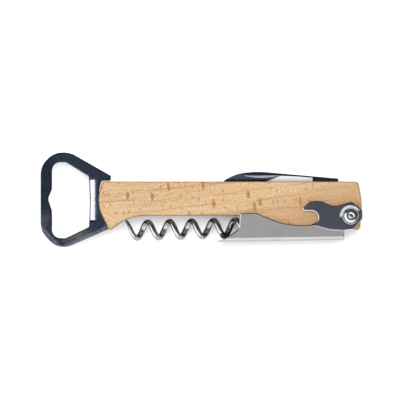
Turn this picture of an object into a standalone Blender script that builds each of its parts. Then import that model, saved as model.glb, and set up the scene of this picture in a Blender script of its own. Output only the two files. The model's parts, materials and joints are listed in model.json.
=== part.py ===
"""Waiter's corkscrew with a ring cap lifter: a folding foil knife, a worm and a channel lever.

The tool lies flat on its back scale. X runs along the handle towards the lever rivet, Y runs across the
handle towards the knife's spine, and Z is the thickness. Sizes below are in millimetres, heights are
measured from the middle plane of the handle, and the meshes are in metres.
"""

import math

import bmesh
import bpy

MM = 0.001

# Overall size
HALF_LENGTH = 70.0
RING_HALF_WIDTH = 20.6
MIDDLE_Z = 8.8  # from the surface it lies on up to the middle plane

# Layers of the handle and the lever, as (nearer, farther) distances from the middle plane
CORE = 1.5
LINER = (1.7, 2.6)
SCALE = (2.8, 5.3)
FRICTION_WASHER = (5.55, 5.95)
LEVER_WALL = (5.6, 6.6)
LEVER_EAR = (6.2, 7.2)
COLLAR = (7.4, 7.75)
RIVET_HEAD = (7.95, MIDDLE_Z)
BLADE = 0.9
KNIFE_WASHER = (1.05, 1.45)
EYE = 1.25
PIN_END = 2.55

# Joint axes and rivets, as (x, y)
KNIFE_PIVOT = (56.0, 3.8)
WORM_PIVOT = (38.0, -8.9)
LEVER_PIVOT = (65.0, -7.1)
PLATE_RIVETS = {"plate_rivet_left": (-34.0, -1.0), "plate_rivet_right": (-6.0, 0.5)}
SPRING_RIVETS = {"spring_rivet_left": (11.0, -3.0), "spring_rivet_right": (22.0, -3.0)}

# Radii
RUNNING_GAP = 0.25
RIVET_R = 1.2
KNIFE_PIN_R = 1.3
WORM_PIN_R = 1.4
LEVER_SHANK_R = 1.9
BUSH_R = (2.15, 2.65)
SPACER_R = (2.9, 3.6)
FRICTION_WASHER_R = 3.4
COLLAR_R = 3.9
DOME_R = 2.9
PIP_R = 0.9
PIP_HEIGHT = 0.15
EYE_R = 3.4
KNIFE_WASHER_R = 3.0
SPRING_NOSE_R = 7.0

# Handle outline
HANDLE_TOP = 7.9
HANDLE_BOTTOM = -13.1
GRIP_BOTTOM = -6.9
CORE_INSET = 0.4
EDGE_ROUND = 0.9

# Worm
WIRE_R = 1.25
TIP_R = 0.3
COIL_R = 3.4
PITCH = 9.55
FIRST_PEAK_X = -32.8  # the tip lies here, at the top of the coil
TURNS = 5.1
RUN_OUT_TURNS = 0.75  # the coil closes onto its axis over this much more
RUN_OUT_STRETCH = 1.3  # pitch of the run-out against the coil's own
AXIS_Y = -13.3  # height of the coil's axis at AXIS_X
AXIS_X = -25.0
AXIS_RISE = 0.0235  # rise of the axis for each millimetre along X
TIP_FLARE = 0.8
TIP_TURNS = 0.5
SHANK_BEND = (29.5, -12.1)
SHANK_END = (35.6, -9.8)
SHANK_STEPS = 6
WIRE_SIDES = 8
STEPS_PER_TURN = 14

# Places where a bevel is ground: the ring's lip along Y, the blade along X
LIP_SPAN = (-9.3, 9.0)
GRIND_SPAN = (5.0, 48.0)

# Lever sheet
WEB_RIGHT = (62.1, -17.5)
WEB_LEFT = (6.4, -18.35)
WEB_THICKNESS = 0.9
FOLD_R = 1.3
CUT_DEPTH = (-20.0, 20.5)  # cutters through the thickness
CUT_SPAN = (-10.0, 90.0)  # cutters along the channel run past both its ends

ARC_ERROR = 0.03  # how far a chord may lie inside its arc
WIDEST_ARC_STEP = math.radians(18)
CIRCLE_SIDES = 24


# ---- outlines -------------------------------------------------------------------------------------------

def rounded(corners):
    """The outline through corners (x, y, radius), each turned into an arc of its radius."""
    points = []
    count = len(corners)
    for i, (x, y, radius) in enumerate(corners):
        before = corners[i - 1]
        after = corners[(i + 1) % count]
        heading_in = math.atan2(y - before[1], x - before[0])
        heading_out = math.atan2(after[1] - y, after[0] - x)
        turn = math.remainder(heading_out - heading_in, math.tau)
        if radius == 0 or abs(turn) < 0.01:
            points.append((x, y))
            continue
        reach = radius * math.tan(abs(turn) / 2)
        start_x = x - reach * math.cos(heading_in)
        start_y = y - reach * math.sin(heading_in)
        side = math.copysign(1, turn)
        centre_x = start_x - side * radius * math.sin(heading_in)
        centre_y = start_y + side * radius * math.cos(heading_in)
        arc_step = min(WIDEST_ARC_STEP, 2 * math.acos(max(0.0, 1 - ARC_ERROR / radius)))
        steps = max(2, math.ceil(abs(turn) / arc_step))
        for k in range(steps + 1):
            angle = heading_in + turn * k / steps
            across = side * radius * math.sin(angle)
            along = side * radius * math.cos(angle)
            points.append((centre_x + across, centre_y - along))
    return points


def circle(centre, radius, sides=CIRCLE_SIDES):
    angles = [math.tau * k / sides for k in range(sides)]
    return [(centre[0] + radius * math.cos(angle), centre[1] + radius * math.sin(angle)) for angle in angles]


def handle_outline(inset=0.0):
    """The wood scale's outline; a positive inset moves every side inwards."""
    top = HANDLE_TOP - inset
    return rounded([
        (-42.6 + inset, top, 0.8),
        (-46.0 + inset, -0.6, 15.5),
        (-39.9 + inset, -13.6 + inset, 1.0),
        (-31.2, -7.0 + inset, 20.0),
        (21.5, GRIP_BOTTOM + inset, 10.0),
        (32.0, HANDLE_BOTTOM + inset, 8.0),
        (69.1 - inset, HANDLE_BOTTOM + inset, 1.5),
        (HALF_LENGTH - 0.05 - inset, -1.5, 25.0),
        (68.5 - inset, top, 1.8),
    ])


# ---- meshes ---------------------------------------------------------------------------------------------

def finish(name, bm, centre=(0.0, 0.0)):
    """An object from a bmesh in millimetres about the middle plane, with its origin at centre."""
    bmesh.ops.recalc_face_normals(bm, faces=bm.faces)
    bmesh.ops.translate(bm, verts=bm.verts, vec=(-centre[0], -centre[1], 0.0))
    bmesh.ops.scale(bm, verts=bm.verts, vec=(MM, MM, MM))
    mesh = bpy.data.meshes.new(name)
    bm.to_mesh(mesh)
    bm.free()
    thing = bpy.data.objects.new(name, mesh)
    thing.location = (centre[0] * MM, centre[1] * MM, MIDDLE_Z * MM)
    bpy.context.collection.objects.link(thing)
    return thing


def extrude(bm, face, travel):
    """Extrudes one flat face along travel and returns the new face at the far end."""
    grown = bmesh.ops.extrude_face_region(bm, geom=[face])["geom"]
    moved = [item for item in grown if isinstance(item, bmesh.types.BMVert)]
    bmesh.ops.translate(bm, verts=moved, vec=travel)
    return next(item for item in grown if isinstance(item, bmesh.types.BMFace))


def prism(name, points, low, high, centre=(0.0, 0.0), round_outer=0.0):
    """A flat plate; round_outer rounds the edge of the face that is farther from the middle plane."""
    bm = bmesh.new()
    start, end = (low, high) if abs(high) >= abs(low) else (high, low)
    base = bm.faces.new([bm.verts.new((x, y, start)) for x, y in points])
    far_face = extrude(bm, base, (0.0, 0.0, end - start))
    if round_outer:
        bmesh.ops.bevel(bm, geom=far_face.edges[:], offset=round_outer, segments=2, profile=0.5, affect="EDGES")
    return finish(name, bm, centre)


def turned(name, centre, profile):
    """A solid turned about Z through centre; its profile of (radius, height) starts and ends at r = 0."""
    bm = bmesh.new()
    rings = []
    for radius, height in profile:
        if radius == 0:
            rings.append([bm.verts.new((centre[0], centre[1], height))])
        else:
            rings.append([bm.verts.new((x, y, height)) for x, y in circle(centre, radius)])
    for lower, upper in zip(rings, rings[1:]):
        for k in range(CIRCLE_SIDES):
            after = (k + 1) % CIRCLE_SIDES
            below = [lower[k % len(lower)], lower[after % len(lower)]]
            above = [upper[after % len(upper)], upper[k % len(upper)]]
            bm.faces.new(list(dict.fromkeys(below + above)))
    return finish(name, bm, centre)


def ring(name, centre, inner, outer, low, high):
    """A washer or tube about Z through centre."""
    bm = bmesh.new()
    loops = [
        [bm.verts.new((x, y, height)) for x, y in circle(centre, radius)]
        for radius, height in ((inner, low), (outer, low), (outer, high), (inner, high))
    ]
    for i, lower in enumerate(loops):
        upper = loops[(i + 1) % len(loops)]
        for k in range(CIRCLE_SIDES):
            after = (k + 1) % CIRCLE_SIDES
            bm.faces.new([lower[k], lower[after], upper[after], upper[k]])
    return finish(name, bm, centre)


def profile_prism(name, corners, travel):
    """A solid whose flat profile, given by its (x, y, z) corners, is carried along travel."""
    bm = bmesh.new()
    base = bm.faces.new([bm.verts.new(corner) for corner in corners])
    extrude(bm, base, travel)
    return finish(name, bm)


def combine(thing, other, operation):
    """Adds a Boolean of thing with a hidden guide object."""
    other.hide_render = True
    other.display_type = "WIRE"
    modifier = thing.modifiers.new(f"{operation.lower()} {other.name}", "BOOLEAN")
    modifier.operation = operation
    modifier.solver = "EXACT"
    modifier.object = other


def drill(thing, centre, radius):
    """A round hole through the whole thickness."""
    cutter = prism(f"cut_{thing.name}_{len(thing.modifiers)}", circle(centre, radius), *CUT_DEPTH)
    combine(thing, cutter, "DIFFERENCE")


def tube(name, path, radii, centre):
    """A round wire along a path of (x, y, z), with a radius at each point and closed ends."""
    bm = bmesh.new()
    rings = []
    for i, point in enumerate(path):
        before = path[max(i - 1, 0)]
        after = path[min(i + 1, len(path) - 1)]
        along = [after[k] - before[k] for k in range(3)]
        length = math.hypot(*along)
        along = [value / length for value in along]
        # Across the wire: one direction in the plane of X and the wire, one at right angles to both
        flat = math.hypot(along[1], along[2])
        side = (0.0, -along[2] / flat, along[1] / flat) if flat > 1e-6 else (0.0, 0.0, 1.0)
        over = (
            along[1] * side[2] - along[2] * side[1],
            along[2] * side[0] - along[0] * side[2],
            along[0] * side[1] - along[1] * side[0],
        )
        loop = []
        for k in range(WIRE_SIDES):
            angle = math.tau * k / WIRE_SIDES
            c = radii[i] * math.cos(angle)
            s = radii[i] * math.sin(angle)
            loop.append(bm.verts.new([point[n] + c * side[n] + s * over[n] for n in range(3)]))
        rings.append(loop)
    for lower, upper in zip(rings, rings[1:]):
        for k in range(WIRE_SIDES):
            after = (k + 1) % WIRE_SIDES
            bm.faces.new([lower[k], lower[after], upper[after], upper[k]])
    bm.faces.new(rings[0])
    bm.faces.new(rings[-1])
    return finish(name, bm, centre)


# ---- materials ------------------------------------------------------------------------------------------

def material(name, colour, metallic, roughness):
    made = bpy.data.materials.new(name)
    made.use_nodes = True
    shader = made.node_tree.nodes["Principled BSDF"]
    shader.inputs["Base Color"].default_value = (*colour, 1.0)
    shader.inputs["Metallic"].default_value = metallic
    shader.inputs["Roughness"].default_value = roughness
    return made


def dress(thing, kind):
    """Gives a sub-part its own material of one of the object's finishes."""
    finishes = {
        "dark_steel": ((0.05, 0.07, 0.10), 1.0, 0.25),
        "satin_steel": ((0.55, 0.55, 0.56), 1.0, 0.38),
        "chrome": ((0.75, 0.76, 0.78), 1.0, 0.08),
        "plain_steel": ((0.50, 0.50, 0.52), 1.0, 0.35),
        "brass": ((0.75, 0.55, 0.22), 1.0, 0.30),
        "beech": ((0.74, 0.52, 0.30), 0.0, 0.50),
    }
    colour, metallic, roughness = finishes[kind]
    thing.data.materials.append(material(f"{thing.name}_{kind}", colour, metallic, roughness))
    for face in thing.data.polygons:
        face.use_smooth = True
    thing.data.set_sharp_from_angle(angle=math.radians(30))


# ---- the handle -----------------------------------------------------------------------------------------

def opener_plate():
    """The cap-lifter ring and its tail, cut from one plate; the tail is the core of the handle's left half."""
    outer = rounded([
        (-HALF_LENGTH, 14.7, 9.0),
        (-HALF_LENGTH, -13.8, 9.0),
        (-63.4, -RING_HALF_WIDTH, 8.0),
        (-58.0, -RING_HALF_WIDTH, 9.0),
        (-40.1, -12.75, 0.3),
        (-38.7, -12.4, 0.5),
        (-31.2, -6.6, 20.0),
        (6.0, GRIP_BOTTOM + CORE_INSET, 0.3),
        (6.0, HANDLE_TOP - CORE_INSET, 0.3),
        (-41.8, HANDLE_TOP - CORE_INSET, 0.8),
        (-42.7, 3.3, 0.4),
        (-44.7, 3.4, 0.5),
        (-43.7, 8.4, 1.4),
        (-39.6, 8.25, 0.6),
        (-39.3, 10.35, 0.8),
        (-57.2, RING_HALF_WIDTH, 10.0),
        (-64.1, RING_HALF_WIDTH, 9.0),
    ])
    opening = rounded([
        (-65.1, 16.3, 3.6),
        (-65.1, 4.6, 1.5),
        (-66.9, 0.4, 2.5),
        (-65.1, -4.8, 1.5),
        (-65.1, -16.4, 3.6),
        (-59.4, -16.9, 3.0),
        (-48.9, -11.9, 0.6),
        (-48.5, -0.6, 30.0),
        (-49.0, 10.2, 0.6),
        (-59.0, 16.3, 3.0),
    ])
    plate = prism("opener_plate", outer, -CORE, CORE)
    combine(plate, prism("cut_ring", opening, *CUT_DEPTH), "DIFFERENCE")
    lip_bevel = [(-50.0, -1.0), (-47.0, 0.3), (-45.8, CORE), (-45.8, 3.0), (-50.0, 3.0)]
    low, high = LIP_SPAN
    lip_cutter = profile_prism("cut_lip", [(x, low, z) for x, z in lip_bevel], (0.0, high - low, 0.0))
    combine(plate, lip_cutter, "DIFFERENCE")
    for centre in PLATE_RIVETS.values():
        drill(plate, centre, RIVET_R + RUNNING_GAP)
    dress(plate, "dark_steel")


def liners():
    """The two steel plates between the core and the scales."""
    for name, side in (("front_liner", 1), ("back_liner", -1)):
        liner = prism(name, handle_outline(), side * LINER[0], side * LINER[1])
        for centre in (*PLATE_RIVETS.values(), *SPRING_RIVETS.values()):
            drill(liner, centre, RIVET_R + RUNNING_GAP)
        drill(liner, KNIFE_PIVOT, KNIFE_PIN_R + RUNNING_GAP)
        drill(liner, WORM_PIVOT, WORM_PIN_R + RUNNING_GAP)
        drill(liner, LEVER_PIVOT, BUSH_R[1] + RUNNING_GAP)
        dress(liner, "plain_steel")


def scales():
    """The two wooden scales, rounded along their outer edges."""
    for name, side in (("front_scale", 1), ("back_scale", -1)):
        scale = prism(name, handle_outline(), side * SCALE[0], side * SCALE[1], round_outer=EDGE_ROUND)
        drill(scale, LEVER_PIVOT, BUSH_R[1] + RUNNING_GAP)
        dress(scale, "beech")


def back_spring():
    """One bar with two arms: the upper presses on the knife's tang, the lower on the worm's eye."""
    outline = rounded([
        (6.5, GRIP_BOTTOM + CORE_INSET, 0.3),
        (21.0, GRIP_BOTTOM + CORE_INSET, 6.0),
        (31.0, -5.2, 4.0),
        (44.0, -5.2, 0.5),
        (44.0, -3.2, 0.5),
        (27.0, -2.6, 0.3),
        (27.0, -1.8, 0.3),
        (51.5, -1.8, 0.4),
        (51.5, 0.5, 0.0),
        (6.5, 0.5, 0.3),
    ])
    spring = prism("back_spring", outline, -CORE, CORE)
    for centre in SPRING_RIVETS.values():
        drill(spring, centre, RIVET_R + RUNNING_GAP)
    drill(spring, KNIFE_PIVOT, SPRING_NOSE_R)
    dress(spring, "plain_steel")


def frame_rivets():
    for name, centre in {**PLATE_RIVETS, **SPRING_RIVETS}.items():
        profile = [(0, -PIN_END), (RIVET_R, -PIN_END), (RIVET_R, PIN_END), (0, PIN_END)]
        dress(turned(name, centre, profile), "plain_steel")


# ---- the knife ------------------------------------------------------------------------------------------

def knife():
    outline = rounded([
        (9.9, 8.3, 0.3),
        (10.6, 6.4, 1.5),
        (16.5, 1.4, 12.0),
        (44.5, 1.2, 0.5),
        (46.2, 2.9, 0.8),
        (49.0, 2.6, 1.5),
        (52.4, 0.5, 2.0),
        (58.9, 0.5, 2.8),
        (59.9, 6.0, 3.0),
        (59.9, 9.2, 0.7),
        (24.5, 12.2, 22.0),
        (15.6, 11.1, 5.0),
    ])
    blade = prism("knife_blade", outline, -BLADE, BLADE, KNIFE_PIVOT)
    for side in (1, -1):
        grind = [(13.0, side * 1.4), (9.2, side * BLADE), (0.0, side * 0.1), (0.0, side * 1.4)]
        start, end = GRIND_SPAN
        cutter = profile_prism(f"cut_grind_{side}", [(start, y, z) for y, z in grind], (end - start, 0.0, 0.0))
        combine(blade, cutter, "DIFFERENCE")
    nick = rounded([(17.0, 10.7, 0.5), (17.8, 8.8, 0.9), (34.4, 8.8, 0.9), (34.4, 10.7, 0.5)])
    combine(blade, prism("cut_nick", nick, 0.4, 3.0), "DIFFERENCE")
    drill(blade, KNIFE_PIVOT, KNIFE_PIN_R + RUNNING_GAP)
    dress(blade, "chrome")
    pin = [(0, -PIN_END), (KNIFE_PIN_R, -PIN_END), (KNIFE_PIN_R, PIN_END), (0, PIN_END)]
    dress(turned("knife_pin", KNIFE_PIVOT, pin), "plain_steel")
    for name, side in (("knife_washer_front", 1), ("knife_washer_back", -1)):
        low, high = sorted(side * z for z in KNIFE_WASHER)
        washer = ring(name, KNIFE_PIVOT, KNIFE_PIN_R + RUNNING_GAP, KNIFE_WASHER_R, low, high)
        dress(washer, "brass")


# ---- the worm -------------------------------------------------------------------------------------------

def coil_point(turn):
    """A point of the coil's centre line and the wire's radius there, counted in turns from the tip."""
    opening = max(0.0, 1 - turn / TIP_TURNS)
    closing = max(0.0, (turn - TURNS) / RUN_OUT_TURNS)
    x = FIRST_PEAK_X + PITCH * turn + PITCH * (RUN_OUT_STRETCH - 1) * closing * max(0.0, turn - TURNS)
    axis_y = AXIS_Y + (x - AXIS_X) * AXIS_RISE
    radius = COIL_R * (1 + math.cos(math.pi * closing)) / 2 + TIP_FLARE * opening**2
    wire = TIP_R + (WIRE_R - TIP_R) * min(1.0, turn / TIP_TURNS)
    angle = math.tau * turn
    return (x, axis_y + radius * math.cos(angle), radius * math.sin(angle)), wire


def worm_path():
    """Points and radii of the worm's wire: a pointed tip, the coil, its run-out, then a shank to the pivot."""
    steps = round((TURNS + RUN_OUT_TURNS) * STEPS_PER_TURN)
    turns = [(TURNS + RUN_OUT_TURNS) * i / steps for i in range(steps + 1)]
    path, radii = (list(column) for column in zip(*(coil_point(turn) for turn in turns)))
    start = path[-1]
    for k in range(1, SHANK_STEPS + 1):
        t = k / SHANK_STEPS
        weights = ((1 - t) ** 2, 2 * t * (1 - t), t * t)
        corners = (start, SHANK_BEND, SHANK_END)
        x, y = (sum(weight * corner[n] for weight, corner in zip(weights, corners)) for n in range(2))
        path.append((x, y, 0.0))
        radii.append(WIRE_R)
    return path, radii


def worm():
    path, radii = worm_path()
    wire = tube("worm", path, radii, WORM_PIVOT)
    eye = ring("add_worm_eye", WORM_PIVOT, WORM_PIN_R + RUNNING_GAP, EYE_R, -EYE, EYE)
    combine(wire, eye, "UNION")
    dress(wire, "chrome")
    pin = [(0, -PIN_END), (WORM_PIN_R, -PIN_END), (WORM_PIN_R, PIN_END), (0, PIN_END)]
    dress(turned("worm_pin", WORM_PIVOT, pin), "plain_steel")


# ---- the lever ------------------------------------------------------------------------------------------

def channel_outline():
    """The side of the lever's channel, from the foot at the left to the end of the fold at the right."""
    return rounded([
        (*WEB_LEFT, 0.0),
        (*WEB_RIGHT, 0.0),
        (62.3, -12.2, 0.0),
        (55.5, -11.4, 10.0),
        (52.2, -9.9, 0.3),
        (50.6, -10.85, 0.5),
        (44.5, -11.15, 0.0),
        (36.3, -11.15, 36.0),
        (23.9, -5.75, 1.5),
        (16.8, -6.0, 0.4),
        (16.6, -12.8, 3.0),
        (9.9, -17.3, 1.0),
    ])


def ear_outline():
    """The hook plate: a cap-lifter notch open to the left, a hook over it, and the ear round the rivet."""
    return rounded([
        (47.6, -10.85, 0.0),
        (55.8, -13.1, 14.0),
        (62.3, -13.5, 0.0),
        (66.2, -13.0, 1.3),
        (HALF_LENGTH, -8.4, 1.5),
        (HALF_LENGTH, -4.5, 1.6),
        (65.4, -0.9, 0.9),
        (57.5, -3.1, 7.0),
        (52.2, -0.7, 4.0),
        (47.4, -0.8, 3.0),
        (43.8, -4.2, 0.3),
        (44.3, -4.85, 0.2),
        (50.9, -4.85, 2.9),
        (50.9, -10.85, 2.9),
    ])


def floor_height(x):
    """The outside of the channel's web at x."""
    share = (x - WEB_LEFT[0]) / (WEB_RIGHT[0] - WEB_LEFT[0])
    return WEB_LEFT[1] + share * (WEB_RIGHT[1] - WEB_LEFT[1])


def fold_cutter(side):
    """What lies outside the round fold between the web and one wall, along the whole channel."""
    wall = side * LEVER_WALL[1]
    clear = wall + side
    fold = rounded([
        (FOLD_R, clear, 0.0),
        (FOLD_R, wall, 0.0),
        (0.0, wall, FOLD_R),
        (0.0, wall - side * FOLD_R, 0.0),
        (-1.0, wall - side * FOLD_R, 0.0),
        (-1.0, clear, 0.0),
    ])
    start, end = CUT_SPAN
    corners = [(start, floor_height(start) + height, z) for height, z in fold]
    travel = (end - start, floor_height(end) - floor_height(start), 0.0)
    return profile_prism(f"cut_fold_{side}", corners, travel)


def lever():
    """One pressed sheet: a U channel that wraps the worm, and two ears that stand out at the rivet."""
    body = prism("lever", channel_outline(), -LEVER_WALL[1], LEVER_WALL[1], LEVER_PIVOT)
    start, end = CUT_SPAN
    hollow = [
        (start, floor_height(start) + WEB_THICKNESS),
        (end, floor_height(end) + WEB_THICKNESS),
        (end, 10.0),
        (start, 10.0),
    ]
    combine(body, prism("cut_channel", hollow, -LEVER_WALL[0], LEVER_WALL[0]), "DIFFERENCE")
    for side in (1, -1):
        combine(body, fold_cutter(side), "DIFFERENCE")
        low, high = sorted(side * z for z in LEVER_EAR)
        combine(body, prism(f"add_ear_{side}", ear_outline(), low, high), "UNION")
    drill(body, LEVER_PIVOT, LEVER_SHANK_R + RUNNING_GAP)
    dress(body, "satin_steel")


def lever_fittings():
    """The domed rivet, the bush it runs in, and the washers and collars on both sides."""
    low, high = RIVET_HEAD
    head = [
        (LEVER_SHANK_R, low),
        (DOME_R, low),
        (DOME_R * 0.9, low + 0.3),
        (DOME_R * 0.65, high - 0.25),
        (PIP_R, high - PIP_HEIGHT),
        (PIP_R * 0.9, high),
        (0, high),
    ]
    profile = [(radius, -height) for radius, height in reversed(head)] + head
    dress(turned("lever_rivet", LEVER_PIVOT, profile), "satin_steel")
    dress(ring("lever_bush", LEVER_PIVOT, *BUSH_R, -5.2, 5.2), "brass")
    dress(ring("end_spacer", LEVER_PIVOT, *SPACER_R, -CORE, CORE), "plain_steel")
    for word, side in (("front", 1), ("back", -1)):
        low, high = sorted(side * z for z in FRICTION_WASHER)
        inner = LEVER_SHANK_R + RUNNING_GAP
        dress(ring(f"lever_washer_{word}", LEVER_PIVOT, inner, FRICTION_WASHER_R, low, high), "brass")
        low, high = sorted(side * z for z in COLLAR)
        dress(ring(f"rivet_collar_{word}", LEVER_PIVOT, inner, COLLAR_R, low, high), "satin_steel")


def main():
    for thing in list(bpy.data.objects):
        bpy.data.objects.remove(thing, do_unlink=True)
    opener_plate()
    liners()
    scales()
    back_spring()
    frame_rivets()
    knife()
    worm()
    lever()
    lever_fittings()


main()
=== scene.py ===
"""Looks of a folding waiter's corkscrew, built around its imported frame.

The file is laid out as a Blender add-on and is run as a script. Outlines are in millimetres, heights are
measured from the middle plane of the handle, and the meshes are in metres.
"""

import json
import math

import bmesh
import bpy
from bpy.props import FloatProperty, FloatVectorProperty, IntProperty, PointerProperty
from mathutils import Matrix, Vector


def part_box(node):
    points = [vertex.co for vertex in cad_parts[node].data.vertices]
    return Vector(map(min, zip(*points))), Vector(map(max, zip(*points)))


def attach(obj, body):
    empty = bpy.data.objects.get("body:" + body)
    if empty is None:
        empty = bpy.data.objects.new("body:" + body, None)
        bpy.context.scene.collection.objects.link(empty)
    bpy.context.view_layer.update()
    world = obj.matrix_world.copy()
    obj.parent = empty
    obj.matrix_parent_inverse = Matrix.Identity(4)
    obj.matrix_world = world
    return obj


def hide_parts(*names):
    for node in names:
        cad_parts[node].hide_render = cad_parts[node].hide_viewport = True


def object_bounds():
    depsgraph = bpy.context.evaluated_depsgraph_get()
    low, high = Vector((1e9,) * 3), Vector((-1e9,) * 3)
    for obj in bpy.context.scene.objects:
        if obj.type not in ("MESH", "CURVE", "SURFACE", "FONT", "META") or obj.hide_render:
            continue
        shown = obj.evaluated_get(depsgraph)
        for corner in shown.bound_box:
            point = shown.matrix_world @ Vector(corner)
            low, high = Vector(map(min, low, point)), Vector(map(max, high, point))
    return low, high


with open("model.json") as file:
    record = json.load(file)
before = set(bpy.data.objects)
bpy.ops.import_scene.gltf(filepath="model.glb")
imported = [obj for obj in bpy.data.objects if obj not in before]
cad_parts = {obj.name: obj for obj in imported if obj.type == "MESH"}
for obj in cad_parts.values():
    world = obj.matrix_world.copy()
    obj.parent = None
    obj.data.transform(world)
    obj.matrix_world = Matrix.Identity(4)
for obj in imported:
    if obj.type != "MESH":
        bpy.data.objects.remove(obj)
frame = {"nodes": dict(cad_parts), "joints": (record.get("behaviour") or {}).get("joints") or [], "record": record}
CAD_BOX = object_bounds()

bl_info = {
    "name": "Waiter's corkscrew",
    "version": (1, 0, 0),
    "blender": (4, 5, 0),
    "location": "View3D > Sidebar > Corkscrew",
    "description": "Finishes a folding waiter's corkscrew with a ring cap lifter",
    "category": "Object",
}

MM = 0.001
UP = Vector((0.0, 0.0, 1.0))
FLAT = 0.999  # how closely a normal follows Z to count as lying along it
QUITE_FLAT = 0.9999  # the same beside a shallow hollow
SAME_PLACE = 1e-6  # vertices nearer than this are one
ARC_ERROR = 0.004  # millimetres that a chord may lie inside its arc
WIDEST_STEP = math.radians(7)
TURNED_STEPS = 96


# ---- places read from the frame ----

def middle(node):
    low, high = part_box(node)
    return (low + high) / 2


def pivot(joint):
    """A joint's place as (x, y) in millimetres."""
    place = next(entry["pos_m"] for entry in frame["joints"] if entry["name"] == joint)
    return place[0] / MM, place[1] / MM


def layer(node):
    """A node's lowest and highest heights from the middle plane, in millimetres."""
    low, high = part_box(node)
    return (low.z - MIDDLE) / MM, (high.z - MIDDLE) / MM


MIDDLE = middle("opener_plate").z
KNIFE = pivot("knife_hinge")
WORM = pivot("worm_hinge")
LEVER = pivot("lever_hinge")
LEFT, RIGHT = CAD_BOX[0][0] / MM, CAD_BOX[1][0] / MM
RING_REACH = CAD_BOX[1][1] / MM


# ---- outlines: corners (x, y, radius) in millimetres ----

def circle_corners(centre, radius):
    x, y = centre
    return [(x + a * radius, y + b * radius, radius) for a, b in ((-1, -1), (1, -1), (1, 1), (-1, 1))]


HANDLE = [
    (-42.6, 7.9, 1.0),
    (-46.0, -0.6, 15.5),
    (-39.9, -13.6, 1.1),
    (-31.2, -7.0, 20.0),
    (21.5, -6.9, 10.0),
    (32.0, -13.1, 8.0),
    (69.1, -13.1, 1.5),
    (RIGHT - 0.05, -1.5, 25.0),
    (68.5, 7.9, 1.8),
]

RING = [
    (LEFT, 14.7, 9.0),
    (LEFT, -13.8, 9.0),
    (-63.4, -RING_REACH, 8.0),
    (-58.0, -RING_REACH, 9.0),
    (-40.1, -12.75, 0.3),
    (-38.7, -12.4, 0.5),
    (-31.2, -6.6, 20.0),
    (6.0, -6.5, 0.3),
    (6.0, 7.5, 0.3),
    (-41.8, 7.5, 0.8),
    (-42.7, 3.3, 0.4),
    (-44.7, 3.4, 0.5),
    (-43.7, 8.4, 1.4),
    (-39.6, 8.25, 0.6),
    (-39.3, 10.35, 0.8),
    (-57.2, RING_REACH, 10.0),
    (-64.1, RING_REACH, 9.0),
]

NICKED_AND_GLINTING_EDGES = (  # (x, y, x, y): the lower arm, the lower left corner and just above the top; nicks on the first two, painted glints along the top
    (*RING[3][:2], *RING[4][:2]),
    (*RING[1][:2], *RING[2][:2]),
    (RING[-1][0], RING_REACH + 1.6, RING[-2][0], RING_REACH + 1.6),
)

RING_OPENING = [
    (-65.1, 16.3, 3.6),
    (-65.1, 4.6, 1.5),
    (-66.9, 0.4, 2.5),
    (-65.1, -4.8, 1.5),
    (-65.1, -16.4, 3.6),
    (-59.4, -16.9, 3.0),
    (-48.9, -11.9, 0.6),
    (-48.5, -0.6, 30.0),
    (-49.0, 10.2, 0.6),
    (-59.0, 16.3, 3.0),
]

LIP = [(-50.0, -1.0), (-47.0, 0.3), (-45.8, 1.5)]  # (x, height) of the two ground facets
LIP_SPAN = (-9.3, 9.0)
LIP_BORDER, LIP_RAGGED = -46.0, 4.0  # x of the ground steel's ragged border, and how far it strays
LIP_DARK_LINE, LIP_WANDER = -48.2, 0.8  # the same of the dark line drawn beside the opening

BLADE = [
    (9.9, 8.3, 0.3),
    (10.6, 6.4, 1.5),
    (16.5, 1.4, 12.0),
    (44.5, 1.2, 0.5),
    (46.2, 2.9, 0.8),
    (49.0, 2.6, 1.5),
    (52.4, 0.5, 2.0),
    (58.9, 0.5, 2.8),
    (59.9, 6.0, 3.0),
    (59.9, 9.2, 0.7),
    (24.5, 12.3, 44.0),
    (15.4, 11.35, 18.0),
]
SPINE_START, SPINE_END = BLADE[-2], BLADE[-3]
SPINE_SLOPE = (SPINE_END[1] - SPINE_START[1]) / (SPINE_END[0] - SPINE_START[0])
GRIND_SPAN = (5.0, 48.0)
GRIND_EDGE = (0.0, 0.1)  # (y, height) where the two ground faces almost meet
GRIND_SHOULDER = 9.8  # y where a ground face runs out, at the plunge
GRIND_LEAN = math.radians(-2.6)  # slope of the shoulder, which follows the spine
GRIND_WHEEL = 60.0
NICK_MIDDLE = 25.7
NICK_LENGTH = 17.4
NICK_SPAN = (8.8, 10.7)
NICK_DEPTH = 0.5

WEB_LEFT = (6.4, -18.35)
WEB_RIGHT = (62.1, -17.5)
WEB_THICKNESS = 0.9
FOLD_R = 1.7
EAR_THICKNESS = 1.0
CHANNEL = [
    (*WEB_LEFT, 0.0),
    (*WEB_RIGHT, 0.0),
    (62.3, -12.2, 0.0),
    (55.5, -11.4, 10.0),
    (52.2, -9.9, 0.3),
    (50.6, -10.85, 0.5),
    (44.5, -11.15, 0.0),
    (36.3, -11.15, 36.0),
    (23.9, -5.75, 1.5),
    (16.8, -6.0, 0.4),
    (16.6, -12.8, 3.0),
    (9.9, -17.3, 1.0),
]
CHANNEL_WALL = (5.6, 6.6)

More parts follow.
